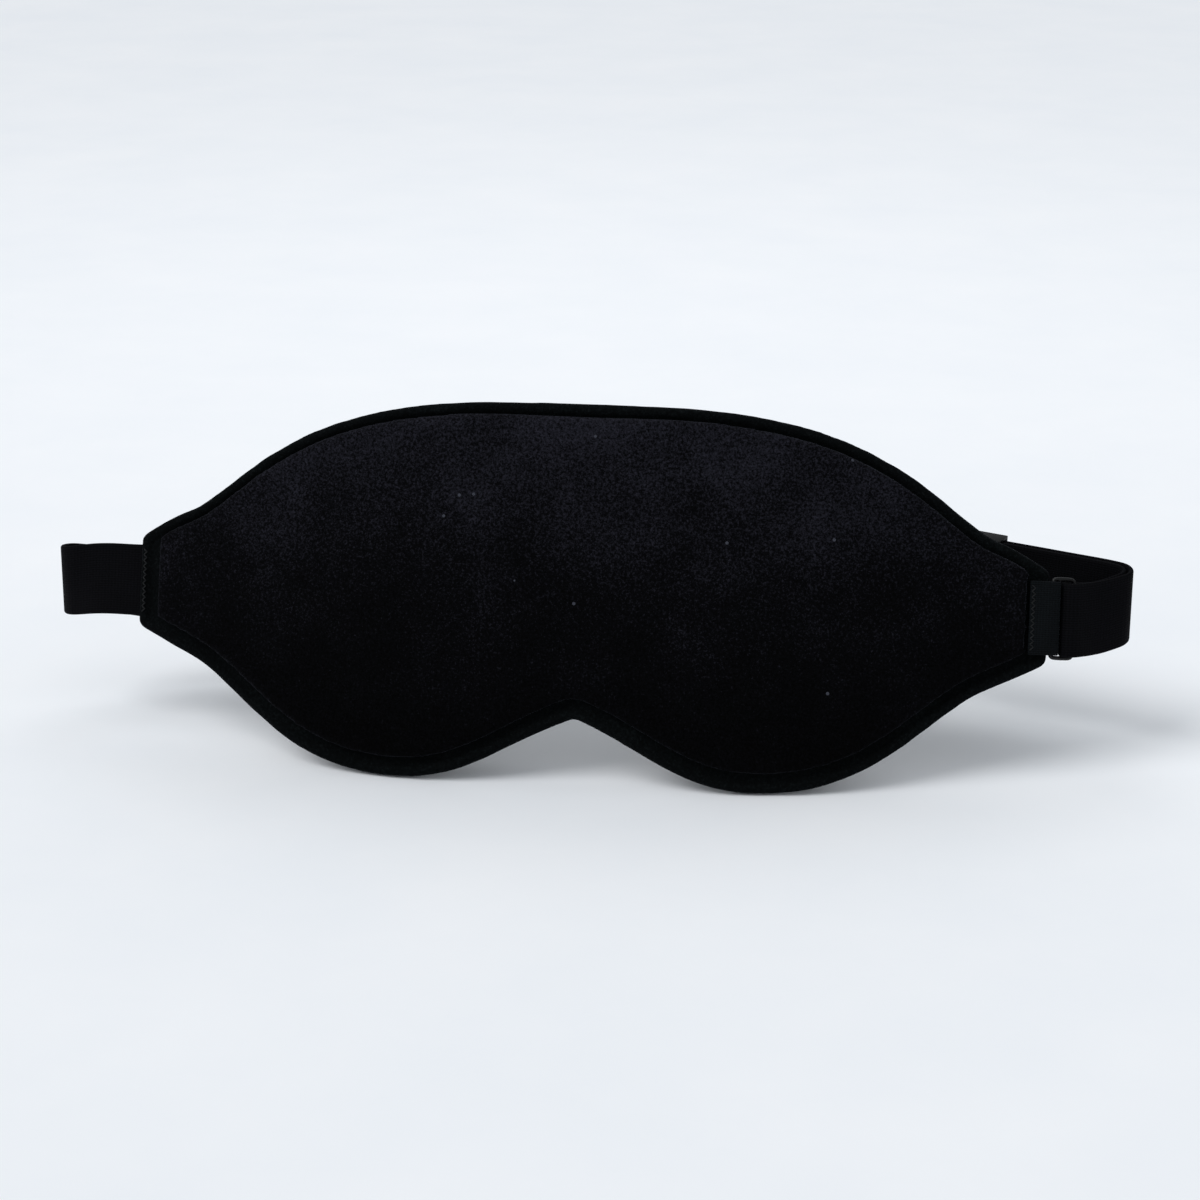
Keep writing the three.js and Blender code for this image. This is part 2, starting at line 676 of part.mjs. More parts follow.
// A strap section: its two faces in four strips each, so that a twisted stretch stays smooth.
function ribbonRing(frame, offset, thickness, width) {
  const c = frame.p.clone().addScaledVector(frame.outer, offset);
  const across = [-0.5, -0.25, 0, 0.25, 0.5];
  const corners = [
    ...across.map((share) => [share, -1]),
    ...[...across].reverse().map((share) => [share, 1]),
  ];
  return corners.map(([share, side]) => c.clone()
    .addScaledVector(frame.width, share * width).addScaledVector(frame.outer, side * thickness / 2));
}
// The end station of a layer, cut square to the X axis just beyond the root's own cut.
function cutRing(side, offset) {
  const atRight = side > 0;
  const heading = atRight ? stand(stubHeading.x, stubHeading.y, 0) : new THREE.Vector3(1, 0, 0);
  const outer = atRight ? stand(-stubSide.x, -stubSide.y, 0) : stand(0, -1, 0);
  const frame = { p: atRight ? butt : leftButt, width: stand(0, 0, 1), outer };
  return ribbonRing(frame, atRight ? offset : 0, strapThickness, strapWidth).map((point) => {
    const travel = (side * (buttX + cutGap) - point.x) / heading.x;
    return point.addScaledVector(heading, travel);
  });
}
function strapLayer(offset, from, to, startCut, endCut) {
  const rings = strapFrames.slice(from, to + 1)
    .map((frame) => ribbonRing(frame, offset, strapThickness, strapWidth));
  if (startCut) rings[0] = cutRing(1, offset);
  if (endCut) rings[rings.length - 1] = cutRing(-1, offset);
  return loft(rings);
}
const lastFrame = strapFrames.length - 1;
add('elastic_back_run', strapLayer(layerStep, 0, lastFrame, true, true), elastic());

// The free tail comes back from the ring on the inner side, through the adjuster, to a hem.
function onStraight(distance) {
  const start = middle.straightStart.clone().addScaledVector(middle.far, distance);
  const width = new THREE.Vector3(0, 0, 1);
  return { p: start, width, outer: new THREE.Vector3().crossVectors(middle.far, width) };
}
function elasticTail() {
  const hemFold = 1;            // how much thicker the folded hem is
  const hemStart = tailEnd - hemLength;
  const shared = Math.ceil(hemStart / straightStep);
  const rings = strapFrames.slice(0, middle.straightIndex + shared)
    .map((frame) => ribbonRing(frame, -layerStep, strapThickness, strapWidth));
  rings[0] = cutRing(1, -layerStep);
  rings.push(ribbonRing(onStraight(hemStart), -layerStep, strapThickness, strapWidth));
  for (const distance of [hemStart + 0.01, tailEnd]) {
    rings.push(ribbonRing(onStraight(distance), -layerStep - hemFold / 2,
      strapThickness + hemFold, strapWidth));
  }
  return loft(rings);
}
add('elastic_tail', elasticTail(), elastic());

// ---------- adjuster: two bars behind both layers, one bar in front, joined by two rails ----------
function block(frame, along, across, out) {
  const geometry = new THREE.BoxGeometry(along[1] - along[0], across[1] - across[0], out[1] - out[0]);
  const mid = [along, across, out].map(([a, b]) => (a + b) / 2);
  return remap(geometry, (p) => frame.p.clone()
    .addScaledVector(middle.far, p.x + mid[0])
    .addScaledVector(frame.width, p.y + mid[1])
    .addScaledVector(frame.outer, p.z + mid[2]));
}
function triGlide() {
  const frame = onStraight(slideAt);
  const inside = strapThickness + layerGap / 2 + gap + 0.1;
  const halfHeight = strapWidth / 2 + gap;
  const railOut = [-inside - slideWall, inside + slideWall];
  const rail = [halfHeight, halfHeight + slideRail];
  const half = slideLength / 2;
  const tall = [-rail[1], rail[1]];
  const overlap = 0.2;
  const middleBar = slideBar / 2 + overlap;
  const parts = [
    block(frame, [-half, half], rail, railOut),
    block(frame, [-half, half], [-rail[1], -rail[0]], railOut),
    block(frame, [-half, -half + slideBar], tall, [inside, inside + slideWall]),
    block(frame, [half - slideBar, half], tall, [inside, inside + slideWall]),
    block(frame, [-middleBar, middleBar], tall, [-inside - slideWall, -inside]),
  ];
  return fromManifold(parts.map(toManifold).reduce((a, b) => a.add(b)));
}
add('tri_glide', triGlide(), plastic());

// ---------- origin at the middle of the footprint, on the floor ----------
const extent = new THREE.Box3();
group.traverse((child) => {
  if (child.isMesh) extent.expandByObject(child);
});
const centre = extent.getCenter(new THREE.Vector3());
group.position.set(-centre.x, -centre.y, -extent.min.z);
group.updateMatrixWorld(true);

export default group;
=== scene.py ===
# %% [markdown]
# A contoured sleep mask on a pale floor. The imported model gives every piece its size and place;
# this script gives each one its soft shape, its cloth and its light.

# %% Load the model
import math

import bpy
import numpy as np
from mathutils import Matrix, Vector, noise


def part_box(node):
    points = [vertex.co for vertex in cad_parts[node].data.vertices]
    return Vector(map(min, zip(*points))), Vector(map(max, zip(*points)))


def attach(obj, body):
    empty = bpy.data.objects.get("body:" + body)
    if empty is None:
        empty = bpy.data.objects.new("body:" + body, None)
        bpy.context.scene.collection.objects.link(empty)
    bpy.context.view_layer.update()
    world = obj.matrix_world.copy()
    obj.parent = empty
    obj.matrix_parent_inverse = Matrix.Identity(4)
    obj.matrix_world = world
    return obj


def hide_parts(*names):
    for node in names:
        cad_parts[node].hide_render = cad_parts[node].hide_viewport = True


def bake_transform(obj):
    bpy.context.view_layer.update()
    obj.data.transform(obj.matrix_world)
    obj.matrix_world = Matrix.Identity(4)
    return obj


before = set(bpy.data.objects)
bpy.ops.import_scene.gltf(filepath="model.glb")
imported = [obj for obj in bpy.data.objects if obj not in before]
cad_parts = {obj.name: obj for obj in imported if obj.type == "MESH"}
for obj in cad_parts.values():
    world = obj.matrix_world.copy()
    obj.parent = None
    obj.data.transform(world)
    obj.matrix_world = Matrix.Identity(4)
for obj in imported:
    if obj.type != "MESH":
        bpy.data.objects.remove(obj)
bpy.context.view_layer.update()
bpy.ops.object.select_all(action="DESELECT")
MM = 0.001
print("nodes:", len(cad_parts))

# %% [markdown]
# The mask is drawn flat, with u along its width, v up its height and w from front to back. It is
# then wrapped round the face and leaned back. The strap and the stitches are placed with this map,
# because a place is easier to give on a flat drawing than on a bent and leaning mask.

# %% The flat drawing's map
WRAP_RADIUS = 491 * MM
LEAN = math.radians(20.2)
HALF_WIDTH = 121 * MM
END_LEVEL = 48 * MM
binding_low, binding_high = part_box("edge_binding")
MIDDLE_X = (binding_low.x + binding_high.x) / 2
ORIGIN = Vector((MIDDLE_X, -41.416 * MM, 1.211 * MM))


def stand(x, n, v):
    """A point at x across, n behind the mask's front and v up the mask, as it stands."""
    y = n * math.cos(LEAN) + v * math.sin(LEAN)
    z = v * math.cos(LEAN) - n * math.sin(LEAN)
    return Vector((x, y, z))


def bend(u, w):
    """Wraps a point of the flat drawing round the face."""
    angle = u / WRAP_RADIUS
    r = WRAP_RADIUS - w
    return r * math.sin(angle), WRAP_RADIUS - r * math.cos(angle)


def place(u, v, w):
    x, n = bend(u, w)
    return stand(x, n, v) + ORIGIN


UP = Vector((0, 0, 1))
MASK_UP = stand(0, 0, 1)
print("mask's middle:", place(0, END_LEVEL, 0))

# %% [markdown]
# The camera stands 0.7 m away, a little to the right and 19 degrees up, with a long lens. It comes
# first, because everything else is judged through it. The view transform is Standard, which shows
# near black and near white as they are set.

# %% Camera
DISTANCE = 0.7
AZIMUTH = math.radians(7.37)
ELEVATION = math.radians(19)
LENS = 81.9
TARGET_LEVEL = 63.065 * MM
AIM_RIGHT, AIM_DOWN = 0.0067, 0.0220
target = ORIGIN + stand(0, 0, TARGET_LEVEL)
forward = Vector((-math.sin(AZIMUTH) * math.cos(ELEVATION),
                  math.cos(AZIMUTH) * math.cos(ELEVATION), -math.sin(ELEVATION)))
right = Vector((math.cos(AZIMUTH), math.sin(AZIMUTH), 0))
upward = right.cross(forward)
aim = (forward + AIM_RIGHT * right - AIM_DOWN * upward).normalized()

bpy.ops.object.camera_add(location=target - forward * DISTANCE)
camera = bpy.context.object
camera.name = "camera"
camera.rotation_euler = aim.to_track_quat("-Z", "Y").to_euler()
camera.data.lens = LENS
camera.data.sensor_width = 36
bpy.context.scene.camera = camera
bpy.context.scene.view_settings.view_transform = "Standard"
print("camera at", camera.location)

# %% [markdown]
# The floor is one large pale sheet, so that it also fills the view behind the mask.

# %% Floor
bpy.ops.mesh.primitive_plane_add(size=12, location=(0, 3, 0))
floor = bpy.context.object
floor.name = "floor"

# %% [markdown]
# Soft studio light. One broad light comes from above and the left, and a pale sky fills the
# shadows. The broad light is a sun lamp with a wide angle, because it lights the whole floor
# alike. A small disc lamp above and behind draws the mask's top edge.

# %% Lights
bpy.ops.object.light_add(type="SUN", location=(-0.6, -0.5, 1.2))
sun = bpy.context.object
sun.name = "broad light"
sun.data.energy = 1.42
sun.data.angle = math.radians(34)
toward = Vector((0.72, 0.46, -1.0))
sun.rotation_euler = toward.to_track_quat("-Z", "Y").to_euler()

TOP_LIGHT_AT = (-0.05, 0.42, 0.75)
bpy.ops.object.light_add(type="AREA", location=TOP_LIGHT_AT, rotation=(math.radians(-28), 0, 0))
top_light = bpy.context.object
top_light.name = "rim light above"
top_light.data.shape = "DISK"
top_light.data.size = 0.5
top_light.data.energy = 0.9

world = bpy.context.scene.world or bpy.data.worlds.new("sky")
bpy.context.scene.world = world
world.use_nodes = True
world.node_tree.nodes["Background"].inputs["Color"].default_value = (0.93, 0.965, 1.0, 1)
world.node_tree.nodes["Background"].inputs["Strength"].default_value = 0.56
print("light comes from", [round(c, 2) for c in -toward.normalized()])

# %% [markdown]
# Materials are node graphs. One small function adds a node with its settings and links, so that
# each material below reads as a list of what it is made of. An input is a value, a node (its first
# output) or one of a node's outputs. It is named for its socket, or _0, _1 and so on by place.

# %% Node helpers
PLUS = {"operation": "ADD"}
TIMES = {"operation": "MULTIPLY"}
SINE = {"operation": "SINE"}


def linear(hex_colour):
    """An sRGB hex colour as the linear values that the shader takes."""
    channels = [int(hex_colour[i:i + 2], 16) / 255 for i in (1, 3, 5)]
    return (*[c / 12.92 if c <= 0.04045 else ((c + 0.055) / 1.055) ** 2.4 for c in channels], 1)


def fill(tree, made, inputs):
    for key, value in inputs.items():
        by_place = key[1:].isdigit()
        socket = made.inputs[int(key[1:]) if by_place else key.replace("_", " ")]
        if isinstance(value, bpy.types.Node):
            value = value.outputs[0]
        if isinstance(value, bpy.types.NodeSocket):
            tree.links.new(value, socket)
        else:
            socket.default_value = value


def node(tree, kind, settings=None, stops=(), **inputs):
    made = tree.nodes.new(kind)
    for key, value in (settings or {}).items():
        setattr(made, key, value)
    while stops and len(made.color_ramp.elements) < len(stops):
        made.color_ramp.elements.new(0.5)
    for i, (position, colour) in enumerate(stops):
        made.color_ramp.elements[i].position = position
        made.color_ramp.elements[i].color = linear(colour)
    fill(tree, made, inputs)
    return made


def finish(name):
    """A new material with its node tree and its shader."""
    material = bpy.data.materials.new(name)
    material.use_nodes = True
    return material, material.node_tree, material.node_tree.nodes["Principled BSDF"]


print("a mid grey is", round(linear("#808080")[0], 3), "in linear light")

# %% [markdown]
# The floor is matt white board, with a faint mottle so that it isn't a dead flat colour.

# %% Floor board


def white_board():
    material, tree, shader = finish("white board")
    spot = node(tree, "ShaderNodeTexCoord").outputs["Object"]
    mottle = node(tree, "ShaderNodeTexNoise", Vector=spot, Scale=14, Detail=4, Roughness=0.6)
    colour = node(tree, "ShaderNodeValToRGB", stops=[(0.3, "#F2F5F9"), (0.7, "#F6F8FB")], Fac=mottle)
    fill(tree, shader, {"Base_Color": colour, "Roughness": 0.9})
    return material


floor.data.materials.append(white_board())
print("floor:", floor.data.materials[0].name)

# %% [markdown]
# The mask's front is polyester velour laminated to foam, brushed so that short fibres stand up.
# Near black, it is seen by the light that the fibres scatter, which is the shader's own sheen.
# Fibres are 0.4 mm apart here, coarser than the real ones, so that they show. They come in tufts
# of 0.7 mm and in patches of nap about 18 mm wide, and a few specks of lint lie on them. Light and
# shade are painted into the colour: the cloth is lighter towards the top edge and darker low down.
# Lining and edge tape are plain knits and use the same fuzz, finer and without lint.

# %% Velour, lining and edge


def fuzz(name, dark, mid, light, sheen, fibres_per_mm=2.6, painted_top_light=0.0, lint=True):
    material, tree, shader = finish(name)
    spot = node(tree, "ShaderNodeTexCoord").outputs["Object"]
    scale = fibres_per_mm / MM
    fibres = node(tree, "ShaderNodeTexNoise", Vector=spot, Scale=scale, Detail=3, Roughness=0.75)
    tufts = node(tree, "ShaderNodeTexNoise", Vector=spot, Scale=scale / 1.8, Detail=2, Roughness=0.6)
    nap = node(tree, "ShaderNodeTexNoise", Vector=spot, Scale=0.055 / MM, Detail=3, Roughness=0.6)
    fibre_share = node(tree, "ShaderNodeMath", TIMES, _0=fibres, _1=0.55)
    tuft_share = node(tree, "ShaderNodeMath", TIMES, _0=tufts, _1=0.45)
    pile = node(tree, "ShaderNodeMath", PLUS, _0=fibre_share, _1=tuft_share)
    pile_share = node(tree, "ShaderNodeMath", TIMES, _0=pile, _1=0.82)
    nap_share = node(tree, "ShaderNodeMath", TIMES, _0=nap, _1=0.18)
    tone = node(tree, "ShaderNodeMath", PLUS, _0=pile_share, _1=nap_share)
    # Painted light and shade: the colour is made lighter towards the top of the mask and darker low down.
    if painted_top_light:
        level = node(tree, "ShaderNodeSeparateXYZ", Vector=spot).outputs["Z"]
        painted_light_and_shade = node(tree, "ShaderNodeMapRange", Value=level, From_Min=12 * MM, From_Max=88 * MM,
                       To_Min=-painted_top_light, To_Max=painted_top_light)
        tone = node(tree, "ShaderNodeMath", PLUS, _0=tone, _1=painted_light_and_shade)
    stops = [(0.36, dark), (0.52, mid), (0.70, light)]
    colour = node(tree, "ShaderNodeValToRGB", stops=stops, Fac=tone)
    if lint:
        colour = lint_specks(tree, spot, colour)
    waves = node(tree, "ShaderNodeTexNoise", Vector=spot, Scale=0.15 / MM, Detail=2, Roughness=0.5)
    normal = node(tree, "ShaderNodeBump", Height=waves, Strength=0.20, Distance=0.6 * MM)
    normal = node(tree, "ShaderNodeBump", Height=pile, Strength=0.7, Distance=0.45 * MM, Normal=normal)
    fill(tree, shader, {"Base_Color": colour, "Roughness": 0.92, "Normal": normal,
                        "Sheen_Weight": sheen, "Sheen_Roughness": 0.30,
                        "Sheen_Tint": linear("#B4BACE"), "Specular_IOR_Level": 0.03})
    return material


def lint_specks(tree, spot, colour):
    """One cell in twenty, of cells 4 mm wide, holds a pale speck."""
    cells = node(tree, "ShaderNodeTexVoronoi", {"feature": "F1"}, Vector=spot, Scale=0.26 / MM)
    near = node(tree, "ShaderNodeMath", {"operation": "LESS_THAN"}, _0=cells, _1=0.11)
    pick = node(tree, "ShaderNodeSeparateColor", Color=cells.outputs["Color"])
    rare = node(tree, "ShaderNodeMath", {"operation": "GREATER_THAN"}, _0=pick, _1=0.95)
    speck = node(tree, "ShaderNodeMath", TIMES, _0=near, _1=rare)
    mixed = node(tree, "ShaderNodeMix", {"data_type": "RGBA"}, _0=speck, _6=colour, _7=linear("#3C3E46"))
    return mixed.outputs[2]


# The velour's colour carries painted light at its top and painted shade low down.
velour = fuzz("velour", "#010101", "#060608", "#26262E", 0.085, painted_top_light=0.085)
lining = fuzz("lining", "#060607", "#0D0D0F", "#18181B", 0.02, fibres_per_mm=1.9, lint=False)
edge_knit = fuzz("edge knit", "#030404", "#07090A", "#15191A", 0.05, fibres_per_mm=2.1, lint=False)
print("cloths:", velour.name, lining.name, edge_knit.name)

# %% [markdown]
# The strap is 19 mm knitted elastic, and the tabs are woven webbing. Both have fine ribs along
# their length and rows across them. Ribs 0.6 mm apart and rows 0.9 mm apart are coarser than the
# real ones, so that they show. The strap's pattern reads its own UV map in millimetres, so it
# follows the strap round its turns. The tabs' pattern reads Object coordinates, turned by the lean.

# %% Elastic and webbing


def ribbed(name, dark, light, rib, row, follows_uv, sheen=0.01):
    material, tree, shader = finish(name)
    source = node(tree, "ShaderNodeTexCoord")
    spot = source.outputs["UV"] if follows_uv else flat_on_mask(tree, source)
    axes = node(tree, "ShaderNodeSeparateXYZ", Vector=spot)
    rib_turn = node(tree, "ShaderNodeMath", TIMES, _0=axes.outputs["Y"], _1=2 * math.pi / rib)
    row_turn = node(tree, "ShaderNodeMath", TIMES, _0=axes.outputs["X"], _1=2 * math.pi / row)
    ribs = node(tree, "ShaderNodeMath", TIMES, _0=node(tree, "ShaderNodeMath", SINE, _0=rib_turn), _1=0.32)
    rows = node(tree, "ShaderNodeMath", TIMES, _0=node(tree, "ShaderNodeMath", SINE, _0=row_turn), _1=0.16)
    weave = node(tree, "ShaderNodeMath", PLUS, _0=ribs, _1=rows)
    yarn = node(tree, "ShaderNodeTexNoise", Vector=spot, Scale=1.7, Detail=3, Roughness=0.7)
    rough_yarn = node(tree, "ShaderNodeMath", TIMES, _0=yarn, _1=1.5)
    height = node(tree, "ShaderNodeMath", PLUS, _0=weave, _1=rough_yarn)
    wear = node(tree, "ShaderNodeTexNoise", Vector=spot, Scale=0.09, Detail=2, Roughness=0.6)
    height_share = node(tree, "ShaderNodeMath", TIMES, _0=height, _1=0.42)
    wear_share = node(tree, "ShaderNodeMath", TIMES, _0=wear, _1=0.28)
    tone = node(tree, "ShaderNodeMath", PLUS, _0=height_share, _1=wear_share)
    colour = node(tree, "ShaderNodeValToRGB", stops=[(0.22, dark), (0.72, light)], Fac=tone)
    normal = node(tree, "ShaderNodeBump", Height=height, Strength=0.5, Distance=0.22 * MM)
    fill(tree, shader, {"Base_Color": colour, "Roughness": 0.82, "Normal": normal,
                        "Sheen_Weight": sheen, "Sheen_Roughness": 0.4,
                        "Sheen_Tint": linear("#A8AEC6"), "Specular_IOR_Level": 0.06})
    return material


def flat_on_mask(tree, source):
    """Object coordinates in millimetres: across the mask, then up it."""
    turned = node(tree, "ShaderNodeMapping", Vector=source.outputs["Object"],
                  Rotation=(LEAN, 0, 0), Scale=(1000, 1000, 1000))
    axes = node(tree, "ShaderNodeSeparateXYZ", Vector=turned)
    return node(tree, "ShaderNodeCombineXYZ", X=axes.outputs["X"], Y=axes.outputs["Z"]).outputs[0]


elastic = ribbed("knitted elastic", "#000001", "#08080C", 0.62, 0.9, True)
webbing = ribbed("woven webbing", "#030405", "#0E1215", 0.55, 0.75, False, 0.02)
print("bands:", elastic.name, webbing.name)

# %% [markdown]
# The ring is glossy moulded plastic (IOR 1.49), and the adjuster is the same plastic with a satin
# skin. Its fine grain makes the gloss a little uneven. Sewing thread is twisted polyester: dark,
# with a dull shine on its ply.

# %% Plastic and thread


def moulded_plastic(name, dark, light, roughness, level):
    material, tree, shader = finish(name)
    spot = node(tree, "ShaderNodeTexCoord").outputs["Object"]
    grain = node(tree, "ShaderNodeTexNoise", Vector=spot, Scale=0.9 / MM, Detail=4, Roughness=0.6)
    cloud = node(tree, "ShaderNodeTexNoise", Vector=spot, Scale=0.12 / MM, Detail=2, Roughness=0.5)
    colour = node(tree, "ShaderNodeValToRGB", stops=[(0.35, dark), (0.65, light)], Fac=cloud)
    gloss = node(tree, "ShaderNodeMapRange", Value=grain, To_Min=roughness * 0.8, To_Max=roughness * 1.25)
    normal = node(tree, "ShaderNodeBump", Height=grain, Strength=0.12, Distance=0.1 * MM)
    fill(tree, shader, {"Base_Color": colour, "Roughness": gloss, "Normal": normal,
                        "IOR": 1.49, "Specular_IOR_Level": level})
    return material


def sewing_thread():
    material, tree, shader = finish("sewing thread")
    spot = node(tree, "ShaderNodeTexCoord").outputs["Object"]
    ply = node(tree, "ShaderNodeTexNoise", Vector=spot, Scale=3.2 / MM, Detail=2, Roughness=0.5)
    colour = node(tree, "ShaderNodeValToRGB", stops=[(0.3, "#050607"), (0.7, "#131518")], Fac=ply)
    normal = node(tree, "ShaderNodeBump", Height=ply, Strength=0.5, Distance=0.1 * MM)
    fill(tree, shader, {"Base_Color": colour, "Roughness": 0.6, "Normal": normal,
                        "Specular_IOR_Level": 0.2})
    return material


ring_plastic = moulded_plastic("glossy plastic", "#030304", "#070709", 0.22, 0.25)
adjuster_plastic = moulded_plastic("satin plastic", "#030304", "#070709", 0.5, 0.1)
thread = sewing_thread()
print("hard finishes:", ring_plastic.name, adjuster_plastic.name, thread.name)

# %% [markdown]
# Foam and cloth have no sharp arrises. Each soft piece starts as a copy of the model's plain
# solid, is welded, remeshed to an even grid finer than its smallest fold, and relaxed. Waves and
# puckers are then pressed into the grid point by point. A cloth simulation would also wrinkle it,
# but this cloth is glued to foam and hardly moves.

# %% Soft copies


def only(piece):
    bpy.ops.object.select_all(action="DESELECT")
    piece.select_set(True)
    bpy.context.view_layer.objects.active = piece


def copy_of(name, *solids):
    """The model's solids of these names as one new welded piece."""
    bpy.ops.object.select_all(action="DESELECT")
    copies = []
    for solid in solids:
        made = bpy.data.objects.new(name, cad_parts[solid].data.copy())
        bpy.context.scene.collection.objects.link(made)
        made.select_set(True)
        copies.append(made)
    piece = copies[0]
    bpy.context.view_layer.objects.active = piece
    if len(solids) > 1:
        bpy.ops.object.join()
    bpy.ops.object.mode_set(mode="EDIT")
    bpy.ops.mesh.select_all(action="SELECT")
    bpy.ops.mesh.remove_doubles(threshold=0.004 * MM)
    bpy.ops.mesh.normals_make_consistent(inside=False)
    bpy.ops.object.mode_set(mode="OBJECT")
    piece.data.materials.clear()
    return piece


def apply(piece, kind, **settings):
    only(piece)
    modifier = piece.modifiers.new(kind, kind)
    for key, value in settings.items():
        setattr(modifier, key, value)
    bpy.ops.object.modifier_apply(modifier=modifier.name)


def relax(piece, grid, rounds, cloth):
    apply(piece, "REMESH", mode="VOXEL", voxel_size=grid, use_smooth_shade=True)
    apply(piece, "SMOOTH", factor=0.5, iterations=rounds)
    only(piece)
    bpy.ops.object.shade_smooth()
    piece.data.materials.append(cloth)
    print(piece.name, len(piece.data.polygons), "faces")
    return piece


def press(piece, depth_at):
    """Moves each point along its normal by depth_at(point), in metres."""
    mesh = piece.data
    normals = [v.normal.copy() for v in mesh.vertices]
    for vertex, normal in zip(mesh.vertices, normals):
        vertex.co += normal * depth_at(vertex.co)
    mesh.update()


# %% [markdown]
# The front pad is foam with velour over it, cut to its own outline and swelling gently over each
# eye. Its face is never quite even: the foam has slow waves, and the velour lies in small ripples.

# %% Front pad
front = copy_of("front_velour_pad", "front_pad")
relax(front, 1.15 * MM, 5, velour)


def pad_waves(p):
    slow = noise.noise(p * 28) * 0.28
    ripple = noise.noise(Vector((p.x * 120, p.y * 60, p.z * 95))) * 0.07
    return (slow + ripple) * MM


press(front, pad_waves)
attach(front, "mask")
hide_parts("front_pad")

# %% [markdown]
# The rim is the flange of lining with its folded edge tape. Sewn and pressed together they read
# as one soft band with a rounded edge, so both are welded into one skin.

# %% Rim
rim = copy_of("rim_band", "flange_panel", "edge_binding")
relax(rim, 0.75 * MM, 4, edge_knit)


def rim_puckers(p):
    return noise.noise(p * 210) * 0.09 * MM + noise.noise(p * 70) * 0.10 * MM


press(rim, rim_puckers)
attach(rim, "mask")
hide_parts("flange_panel", "edge_binding")

# %% [markdown]
# Behind the flange is the moulded back panel, with a hollow for each eye and a soft ring round
# it, and a nose flap that hangs behind the notch.

# %% Back panel
back = relax(copy_of("back_moulding", "back_panel"), 1.2 * MM, 5, lining)
press(back, lambda p: noise.noise(p * 40) * 0.18 * MM)
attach(back, "mask")
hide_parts("back_panel")

# %% Eye rings
for side in ("left", "right"):
    cushion = relax(copy_of(f"{side}_eye_cushion", f"{side}_eye_ring"), 0.8 * MM, 6, lining)
    press(cushion, lambda p: noise.noise(p * 60) * 0.15 * MM)
    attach(cushion, "mask")
    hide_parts(f"{side}_eye_ring")

# %% Nose flap
flap = relax(copy_of("nose_light_flap", "nose_flap"), 0.5 * MM, 5, lining)
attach(flap, "nose")
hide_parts("nose_flap")

# %% [markdown]
# The right tab is a loop of webbing that holds the ring, and the left one is a patch that covers
# the strap's sewn end. Webbing is firm, so only its edges are softened.

# %% Tabs
for side in ("left", "right"):
    tab = relax(copy_of(f"{side}_webbing_tab", f"{side}_end_tab"), 0.4 * MM, 3, webbing)
    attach(tab, "mask")
    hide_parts(f"{side}_end_tab")

# %% [markdown]
# The strap is one length of elastic. It is sewn behind the left end, goes round the back of the
# head, passes through the ring on the right, and doubles back through the adjuster to a hem. Its
# line is worked out from the same turns and stretches as the solid model's.

# %% The strap's sizes
WIDTH = 19 * MM
THICK = 1.2 * MM
LAYER_GAP = 0.6 * MM
LAYER = (THICK + LAYER_GAP) / 2
GAP, FLANGE, TAPE, WEBBING = 0.3 * MM, 1.6 * MM, 0.9 * MM, 1.2 * MM
WIRE_RADIUS, RING_BARS, RING_PLAY = 0.6 * MM, 5.8 * MM, 1.0 * MM
BAR_X, BAR_N = bend(HALF_WIDTH + GAP + WIRE_RADIUS + RING_BARS, FLANGE / 2)
BUTT_X, BUTT_N = BAR_X + 5.3 * MM, BAR_N + 3.0 * MM
FAR = math.radians(24)
LEAVE, NEAR, TURN, CLIMB = 1.8 * MM, 7.8 * MM, 3.2 * MM, 3.2 * MM
STRAIGHT, TAIL, HEM, HEM_FOLD = 68 * MM, 66 * MM, 6 * MM, 1.0 * MM
LEFT_RUN, LEFT_TURN, LEFT_FALL = 8.8 * MM, 3.6 * MM, 3.2 * MM
LEFT_HEADING = math.radians(8)
TOUCH_X, DEPTH, DROP = -14 * MM, 44 * MM, 5 * MM
SAG_REACH, CLIMB_REACH = 30 * MM, 24 * MM
FLOOR_REACH = (34 * MM, 40 * MM)
print("roots end at", round(BUTT_X / MM, 1), "mm from the middle")

# %% [markdown]
# Three small shapes make the line: a turn drawn in plan, a slope that lifts a plan evenly, and a
# Bezier curve for each sagging stretch.

# %% Shapes of the line


def turn(start, heading, radius, sweep, steps=16):
    centre = start + radius * Vector((-math.sin(heading), math.cos(heading)))
    angles = [heading - math.pi / 2 + sweep * i / steps for i in range(steps + 1)]
    return [centre + radius * Vector((math.cos(a), math.sin(a))) for a in angles]


def travelled_to(points):
    """The distance travelled along a row of points, up to each of them."""
    return np.cumsum([0.0] + [(b - a).length for a, b in zip(points, points[1:])])


def sloped(plan, low, high):
    travelled = travelled_to(plan)
    return [Vector((p.x, p.y, low + (high - low) * t / travelled[-1])) for p, t in zip(plan, travelled)]


def bezier(a, b, c, d, steps):
    points = []
    for i in range(1, steps + 1):
        t = i / steps
        s = 1 - t
        points.append(a * s ** 3 + b * 3 * s * s * t + c * 3 * s * t * t + d * t ** 3)
    return points


# %% [markdown]
# From the right root the line runs out, turns back, and goes straight for the adjuster. It then
# sags until it rests on the floor, rises again and turns in to the left root.

# %% The strap's line


def right_turn(butt):
    heading = stand(BUTT_X - BAR_X, BUTT_N - BAR_N, 0)
    near_angle = math.atan2(heading.y, heading.x)
    near = Vector((math.cos(near_angle), math.sin(near_angle)))
    start = butt.to_2d()
    plan = [start + near * d for d in (0, LEAVE, (LEAVE + NEAR) / 2)]
    plan += turn(start + near * NEAR, near_angle, TURN, math.pi - near_angle - FAR)
    return sloped(plan, butt.z, butt.z + CLIMB)


